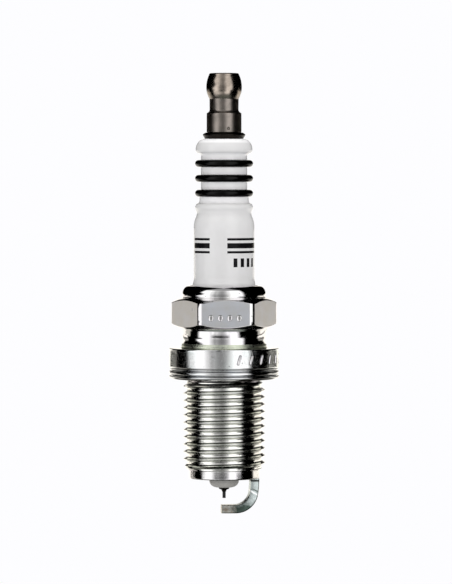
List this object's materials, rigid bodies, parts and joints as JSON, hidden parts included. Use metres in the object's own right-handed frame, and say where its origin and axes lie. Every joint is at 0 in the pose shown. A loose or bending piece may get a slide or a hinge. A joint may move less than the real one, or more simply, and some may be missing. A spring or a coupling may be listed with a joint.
{
  "type": "spark plug",
  "caption": "Ribbed ceramic spark plug with a hexagon shell, threaded body, crush gasket, screw-on terminal nut and a bent side electrode over a fine-wire tip.",
  "frame": {"origin": "centre of the shell's seat face, the underside of the flange, where the crush gasket sits", "axes": "+Z along the plug towards the terminal; +X towards the side electrode's leg; -Y to the front"},
  "size_m": [0.0188, 0.0188, 0.0755],
  "materials": {
    "terminal_nickel": "dark satin nickel plate, turned",
    "stud_steel": "nickel-plated steel",
    "white_glaze": "glossy white glaze with black glazed ribs; the nose is unglazed",
    "seal_glass": "fused copper-filled glass",
    "resistor_mix": "dull black carbon and glass mix",
    "electrode_nickel": "dark nickel alloy",
    "copper_core": "drawn copper",
    "tip_metal": "drawn hard wire",
    "plated_steel": "bright plated steel, satin on the hexagon's faces",
    "packing_steel": "plain steel",
    "talc": "pressed white powder",
    "gasket_steel": "bright plated sheet",
    "strap_nickel": "satin nickel alloy"
  },
  "bodies": {
    "plug": {"metal_shell": "plated_steel", "insulator": "white_glaze", "terminal_stud": "stud_steel", "upper_glass_seal": "seal_glass", "resistor": "resistor_mix", "lower_glass_seal": "seal_glass", "electrode_sheath": "electrode_nickel", "electrode_copper_core": "copper_core", "fine_wire_tip": "tip_metal", "upper_packing_ring": "packing_steel", "talc_packing": "talc", "lower_packing_ring": "packing_steel", "seat_washer": "packing_steel", "ground_electrode": "strap_nickel"},
    "nut": {"terminal_nut": "terminal_nickel"},
    "gasket": {"seat_gasket": "gasket_steel"}
  },
  "joints": [
    {"name": "terminal_nut_travel", "type": "slide", "parent": "plug", "child": "nut", "axis": [0, 0, 1], "range_m": [0, 0.0065]},
    {"name": "gasket_spin", "type": "hinge", "parent": "plug", "child": "gasket", "pos_m": [0, 0, -0.001], "axis": [0, 0, 1], "continuous": true}
  ]
}
